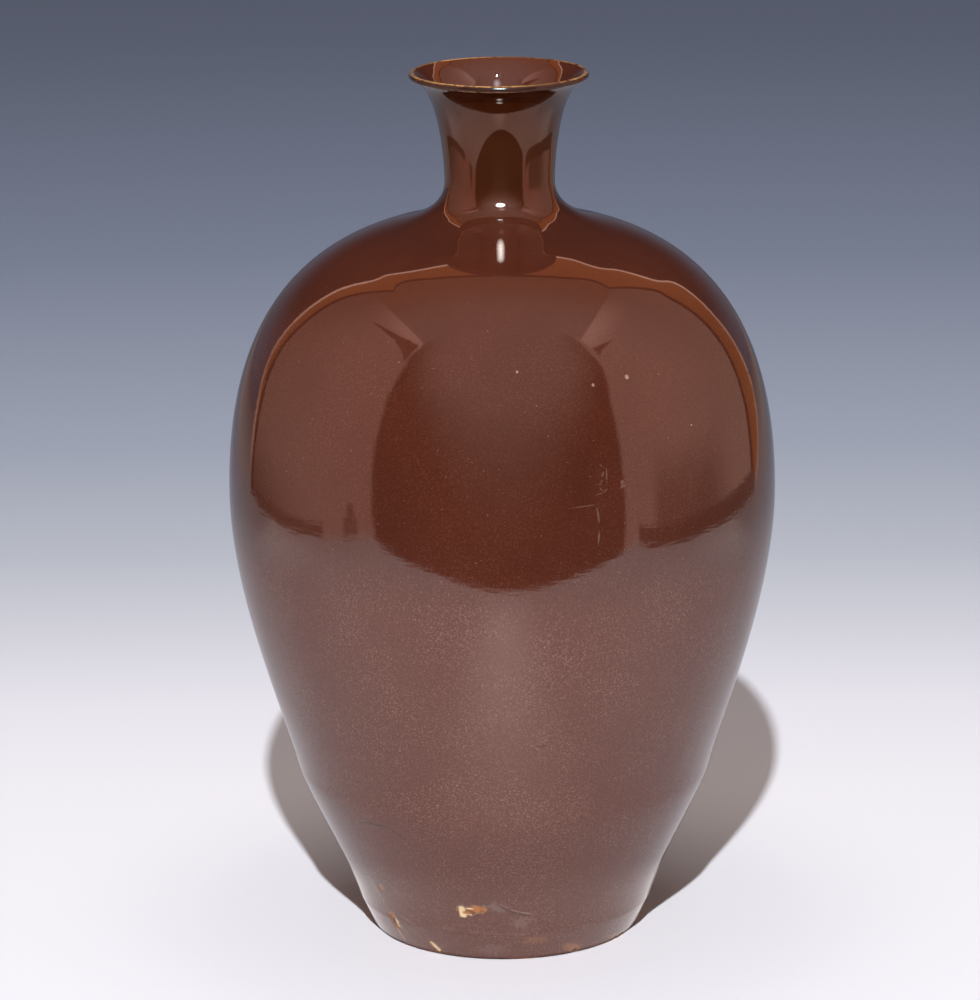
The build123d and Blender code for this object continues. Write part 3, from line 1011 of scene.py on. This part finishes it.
def dark_front(f):
    """The open front of the tent: dark between the cloths, with the lamp's glow behind a cloth and a
    painted fold shadow at its left edge.
    """
    aside = f.math("DIVIDE", f.x, f.plus(0.25, f.times(f.z, 0.48)))
    below = f.times(f.math("MINIMUM", f.minus(f.z, 0.75), 0.0), 1 / 0.70)
    away = f.math("SQRT", f.plus(f.times(aside, aside), f.times(below, below)))
    colour = f.mix(f.ramp(away, 1.0, 0.40), front_dark, front_glow)
    left_end = f.plus(0.625, f.times(f.ramp(f.z, 0.0, 0.10), 0.035))
    right_end = f.plus(0.500, f.times(f.ramp(f.z, 0.40, 0.85), 0.115))
    # Painted shadow of the left fold across the cloth at the front's left edge
    fold_shadow = f.ramp(f.math("ABSOLUTE", f.minus(f.z, 1.10)), 0.16, 0.06)
    left_side = f.times(f.ramp(f.plus(f.x, left_end), 0.020, -0.045), f.rest(f.times(fold_shadow, 0.9)))
    right_side = f.ramp(f.minus(f.x, right_end), -0.012, 0.012)
    return f.mix(right_side, f.mix(left_side, colour, left_front), right_front), False


def floor_gleam(f):
    """The floor shows brighter in the gloss, most of all in the strip straight in front."""
    nearer = f.times(f.ramp(f.y, 0.02, -0.17), 0.46)
    foot = f.times(f.ramp(f.radius(), 0.082, 0.066), 0.45)
    aside = f.math("ABSOLUTE", f.x)
    beside = f.times(f.ramp(aside, 0.36, 0.58), f.ramp(f.y, 0.30, 0.14), f.ramp(f.y, -0.17, 0.02), 0.55)
    across = f.ramp(aside, 0.095, 0.0)
    strip_light = f.times(across, f.ramp(f.y, -0.06, -0.24), f.ramp(f.y, -0.46, -0.27), 1.05)
    gleam = f.plus(f.plus(foot, nearer), f.plus(beside, strip_light))
    return f.scaled(gleam_white, gleam), True


def on_wall(side, points):
    return [(side, y, z) for y, z in points]


def at_level(level, points):
    return [(x, y, level) for x, y in points]


def pushed_back(points, width):
    return [(x, y + width, z) for x, y, z in points]


def hem(name, seam, edge, inner):
    """Rear hem of a cloth: a warm band, a bright edge and a painted shadow along the seam."""
    strip(f"{name}_band", seam, edge, warm_band)
    strip(f"{name}_edge", edge, pushed_back(edge, edge_width), bright_edge)
    # Painted shadow along the seam, as a dark ribbon
    strip(f"{name}_seam", inner, pushed_back(inner, seam_width), plain(seam_shadow_dark))


walls = (
    ("left", -tent_side, left_edge, left_seam, left_fold_shadow, left_cloth),
    ("right", tent_side, right_edge, right_seam, right_fold_shadow, right_cloth),
)
for name, side, edge, seam, fold_shadow, paint in walls:
    front = front_line[0][1] if side < 0 else front_line[-1][1]
    inner_side = side - math.copysign(hem_gap, side)
    sheet(f"{name}_wall", on_wall(side, [(front, 0.0), *seam, (front, tent_top)]), paint)
    hem(name, on_wall(side, seam), on_wall(side, edge), on_wall(inner_side, seam))
    sheet(f"{name}_fold", on_wall(inner_side, fold_shadow), plain(fold_shadow_dark))
board_foot, board_top = at_level(0.0, board_line), at_level(board_height, board_line)
strip("right_board", board_foot, board_top, plain(board_dark))
sheet("roof", at_level(tent_top, [front_line[0], *roof_seam, *front_line[:0:-1]]), roof_cloth)
roof_under = at_level(tent_top - hem_gap, roof_seam)
hem("roof", at_level(tent_top, roof_seam), at_level(tent_top, roof_edge), roof_under)
strip("dark_front", at_level(0.0, front_line), at_level(tent_top, front_line), dark_front)
gleam_line = [*front_line, (tent_side, gleam_back), (-tent_side, gleam_back)]
sheet("floor_gleam", at_level(gleam_height, gleam_line), floor_gleam)


def lamp(name, place, aim, size, power, colour=(1, 1, 1), spread=180.0, gloss=False, diffuse=True):
    """A round studio lamp."""
    data = bpy.data.lights.new(name, "AREA")
    data.shape = "DISK"
    data.size = size
    data.energy = power
    data.color = colour
    data.spread = math.radians(spread)
    thing = placed(name, data)
    thing.location = place
    thing.rotation_euler = (Vector(aim) - Vector(place)).to_track_quat("-Z", "Y").to_euler()
    thing.visible_camera = False
    thing.visible_glossy = gloss
    thing.visible_diffuse = diffuse


def from_middle(distance, aside, up, level):
    """A place at a distance from the vase's axis, degrees aside from the front and degrees up."""
    flat = distance * math.cos(math.radians(up))
    turn = math.radians(aside)
    return (flat * math.sin(turn), -flat * math.cos(turn), level + distance * math.sin(math.radians(up)))


# Lamps: distance, degrees aside and degrees up from a level on the vase's axis, in metres
key_level, key_size, key_power = 0.15, 0.09, 205.0
key_place = from_middle(4.2, -2.25, 40.1, key_level)
lamp("key", key_place, (0, 0, key_level), key_size, key_power, key_tint)
fill_depth, fill_size, fill_power = 0.05, 0.9, 4.9
lamp("overhead", (0, fill_depth, tent_top), (0, fill_depth, 0), fill_size, fill_power, fill_tint)

# Small lamps that only the gloss shows, one on the neck's root and two inside the mouth
neck_level, neck_aim, neck_size, neck_power, neck_spread = 0.295, (0, -0.02, 0.289), 0.078, 0.038, 17.6
neck_place = from_middle(0.259, 0.7, 33.8, neck_level)
lamp("neck_spark", neck_place, neck_aim, neck_size, neck_power, spark_tint, neck_spread, True, False)
mouth_aim, spark_distance, spark_aside = (0, 0.024, 0.312), 0.48, 4.4
mouth_sparks = ((53.0, 0.14, 0.0014, 12.0), (63.0, 0.010, 0.0004, 6.0))
for number, (up, size, power, spread) in enumerate(mouth_sparks):
    place = Vector(from_middle(spark_distance, spark_aside, up, mouth_aim[2]))
    place += Vector((0, mouth_aim[1], 0))
    lamp(f"mouth_spark_{number}", place, mouth_aim, size, power, (1, 1, 1), spread, True, False)

# World: the backdrop for the camera and the gloss, a warm fill for the rest
fill_strength = 0.14
world = bpy.data.worlds.new("studio")
bpy.context.scene.world = world
world.use_nodes = True
w = Nodes(world.node_tree)
world.node_tree.nodes.clear()
path = w.add("ShaderNodeLightPath").outputs
mirrored = w.math("MAXIMUM", path["Is Glossy Ray"], path["Is Transmission Ray"])
seen = w.math("MAXIMUM", path["Is Camera Ray"], mirrored)
up = w.split(w.add("ShaderNodeTexCoord").outputs["Generated"])[2]
grade = w.mix(w.ramp(up, 0.0, 0.35), backdrop_grey, backdrop_dark)
fill = w.out("ShaderNodeBackground", {"Color": rgba(fill_tint), "Strength": fill_strength})
backdrop = w.out("ShaderNodeBackground", {"Color": grade, "Strength": 1.0})
mixed = w.out("ShaderNodeMixShader", {0: seen, 1: fill, 2: backdrop})
w.add("ShaderNodeOutputWorld", {0: mixed})

bpy.context.scene.view_settings.view_transform = "Standard"
